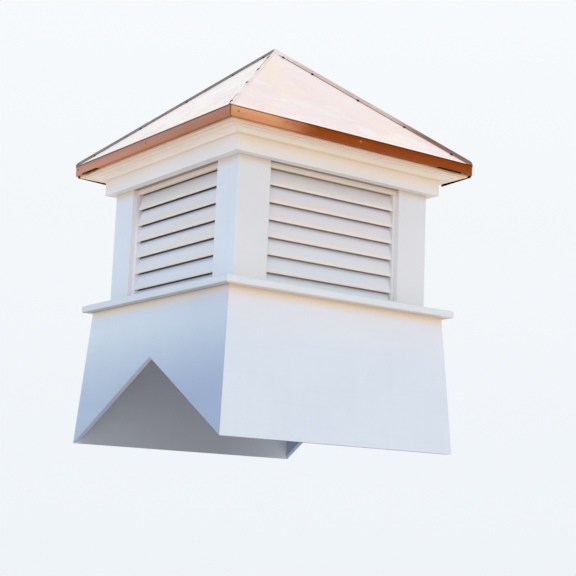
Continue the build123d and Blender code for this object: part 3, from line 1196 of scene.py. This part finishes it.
    def make_shadow_flaps(self) -> None:
        """Makes near-black sheets behind the eaves, near the wrapped corners, shaped as flaps of
        the lip: painted shadow for the dark gap under the eaves.
        """
        shades = (0.030, 0.016, 0.012), (0.014, 0.008, 0.006)
        finish = FixingFinish("shaded copper flap", *shades).build()
        for corner, (across, along) in CORNERS.items():
            if across * along > 0:
                continue
            for side, (out_x, out_y) in SIDES.items():
                if out_x * across + out_y * along < 0:
                    continue
                outward = Vector((out_x, out_y, 0.0))
                towards = Vector((across * abs(out_y), along * abs(out_x), 0.0))
                near = side in ("front", "left")
                runs, bottoms = self.near_flap if near else self.far_flap
                places = [
                    outward * face + towards * run + Vector((0.0, 0.0, level))
                    for face in self.flap_faces
                    for run, bottom in zip(runs, bottoms)
                    for level in (bottom, self.flap_top)
                ]
                faces = [(0, 1, 3, 2), (4, 6, 7, 5), (0, 4, 5, 1)]
                faces += [(2, 3, 7, 6), (0, 2, 6, 4), (1, 5, 7, 3)]
                if outward.cross(towards).z < 0:
                    faces = [tuple(reversed(face)) for face in faces]
                mesh = bpy.data.meshes.new(f"{corner}_{side}_eave_shadow_flap")
                mesh.from_pydata([tuple(place) for place in places], [], faces)
                mesh.materials.append(finish)
                flap = set_out(mesh.name, mesh)
                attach(flap, "root")
                log.info("%s made", flap.name)


@dataclass(frozen=True)
class Lamp:
    """One soft light: where it stands, in degrees round from the front and up, and its look."""

    name: str
    azimuth: float
    elevation: float
    strength: float
    spread: float
    colour: Colour


def way_to(azimuth: float, elevation: float) -> Vector:
    """Gives the direction that is some degrees round from the front, and some degrees up."""
    a, e = math.radians(azimuth), math.radians(elevation)
    return Vector((math.sin(a) * math.cos(e), -math.cos(a) * math.cos(e), math.sin(e)))


@dataclass
class Studio:
    """The floor, the light and the camera. The camera's lengths are in units of half a body."""

    floor_half: float = 30.0
    floor_colour: Colour = (0.84, 0.83, 0.82)
    floor_shade: float = 0.97
    floor_clouds: Pattern = Pattern(3.0, detail=4.0)
    floor_span: Span = (0.3, 0.7)
    floor_roughness: float = 0.6
    background: Colour = (0.86, 0.90, 0.94)
    background_top: Colour = (0.97, 0.98, 0.99)
    background_span: Span = (-0.05, 0.6)
    sky: Colour = (0.92, 0.97, 1.0)
    sky_strength: float = 0.76
    lamps: tuple[Lamp, ...] = (
        Lamp("key light", 10.0, 18.0, 0.40, 30.0, (1.0, 0.95, 0.90)),
        Lamp("fill light", -80.0, 14.0, 0.32, 60.0, (0.66, 0.87, 1.0)),
        Lamp("low front light", -36.0, -15.0, 0.68, 60.0, (1.0, 0.95, 0.90)),
        Lamp("low back light", 144.0, -15.0, 0.68, 60.0, (1.0, 0.95, 0.90)),
        Lamp("front bounce", -36.0, -50.0, 0.78, 70.0, (1.0, 0.93, 0.86)),
        Lamp("back bounce", 144.0, -50.0, 0.78, 70.0, (1.0, 0.93, 0.86)),
    )
    unit: float = 0.45
    azimuth: float = -35.88
    elevation: float = -10.02
    distance: float = 11.92
    aim_across: float = 0.207
    aim_level: float = 1.433
    roll: float = 2.25
    focal_pixels: float = 1338.3
    frame_pixels: float = 576.0
    sensor: float = 36.0

    def make_floor(self) -> None:
        """Makes a pale floor that is clear from below, where the camera stands."""
        mesh = bpy.data.meshes.new("floor")
        h = self.floor_half
        mesh.from_pydata([(-h, -h, 0), (h, -h, 0), (h, h, 0), (-h, h, 0)], [], [(0, 1, 2, 3)])
        floor = set_out("floor", mesh)
        s = Surface("studio floor")
        shaded = tuple(self.floor_shade * c for c in self.floor_colour)
        clouds = s.remap(s.noise(self.floor_clouds), *self.floor_span)
        colour = s.blend(clouds, self.floor_colour, shaded)
        matt = s.out("ShaderNodeBsdfDiffuse", {"Color": colour, "Roughness": self.floor_roughness})
        clear = s.out("ShaderNodeBsdfTransparent")
        below = s.add("ShaderNodeNewGeometry").outputs["Backfacing"]
        seen = s.add("ShaderNodeLightPath").outputs["Is Camera Ray"]
        both = s.out("ShaderNodeMixShader", {0: s.times(below, seen), 1: matt, 2: clear})
        s.add("ShaderNodeOutputMaterial", {"Surface": both})
        mesh.materials.append(s.material)
        floor.visible_shadow = False
        log.info("floor made")

    def make_sky(self) -> None:
        """Makes the pale background and the even light that comes from it."""
        world = bpy.data.worlds.new("studio")
        bpy.context.scene.world = world
        world.use_nodes = True
        w = NodeWriter(world.node_tree)
        path = w.add("ShaderNodeLightPath").outputs
        way = w.add("ShaderNodeTexCoord").outputs["Generated"]
        level = w.add("ShaderNodeSeparateXYZ", {0: way}).outputs["Z"]
        low, high = self.background_span
        rise = w.out("ShaderNodeMapRange", {"Value": level, "From Min": low, "From Max": high})
        pale = w.blend(rise, self.background, self.background_top)
        power = w.times(w.math("GREATER_THAN", level, 0.0), self.sky_strength)
        light = w.out("ShaderNodeBackground", {"Color": opaque(self.sky), "Strength": power})
        shown = w.out("ShaderNodeBackground", {"Color": pale, "Strength": 1.0})
        seen = w.math("MAXIMUM", path["Is Camera Ray"], path["Is Glossy Ray"])
        seen = w.math("MAXIMUM", seen, path["Is Transmission Ray"])
        both = w.out("ShaderNodeMixShader", {0: seen, 1: light, 2: shown})
        w.add("ShaderNodeOutputWorld", {"Surface": both})
        log.info("background made")

    def make_light(self, lamp: Lamp) -> None:
        """Makes one soft light.

        Args:
            lamp: where it stands and what it gives.
        """
        light = bpy.data.lights.new(lamp.name, "SUN")
        light.energy = lamp.strength
        light.angle = math.radians(lamp.spread)
        light.color = lamp.colour
        holder = set_out(lamp.name, light)
        toward = way_to(lamp.azimuth, lamp.elevation)
        holder.rotation_euler = toward.to_track_quat("Z", "Y").to_euler()
        holder.visible_glossy = False
        log.info("%s made", lamp.name)

    def make_camera(self) -> None:
        """Makes the camera, which looks up from the left of the front's centre."""
        a = math.radians(self.azimuth)
        back = way_to(self.azimuth, self.elevation)
        sideways = Vector((math.cos(a), math.sin(a), 0.0)) * self.aim_across
        aim = (sideways + Vector((0.0, 0.0, self.aim_level))) * self.unit
        place = aim + back * (self.distance * self.unit)
        right = (-back).cross(Vector((0.0, 0.0, 1.0))).normalized()
        up = right.cross(-back)
        turn = math.radians(self.roll)
        side = right * math.cos(turn) + up * math.sin(turn)
        head = up * math.cos(turn) - right * math.sin(turn)
        data = bpy.data.cameras.new("camera")
        data.sensor_width = self.sensor
        data.lens = self.focal_pixels * self.sensor / self.frame_pixels
        camera = set_out("camera", data)
        columns = ((*side, 0.0), (*head, 0.0), (*back, 0.0), (*place, 1.0))
        camera.matrix_world = Matrix(columns).transposed()
        bpy.context.scene.camera = camera
        log.info("camera made")

    def build(self) -> None:
        """Makes the whole studio."""
        bpy.context.scene.view_settings.view_transform = "Standard"
        self.make_floor()
        self.make_sky()
        for lamp in self.lamps:
            self.make_light(lamp)
        self.make_camera()


def main() -> None:
    """Builds the scene in order."""
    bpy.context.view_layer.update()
    Base().dress()
    LouvreStage().dress()
    Cornice().dress()
    roof = Roof()
    roof.dress()
    roof.make_rivets()
    roof.make_screws()
    roof.make_shadow_flaps()
    Studio().build()


if __name__ == "__main__":
    main()
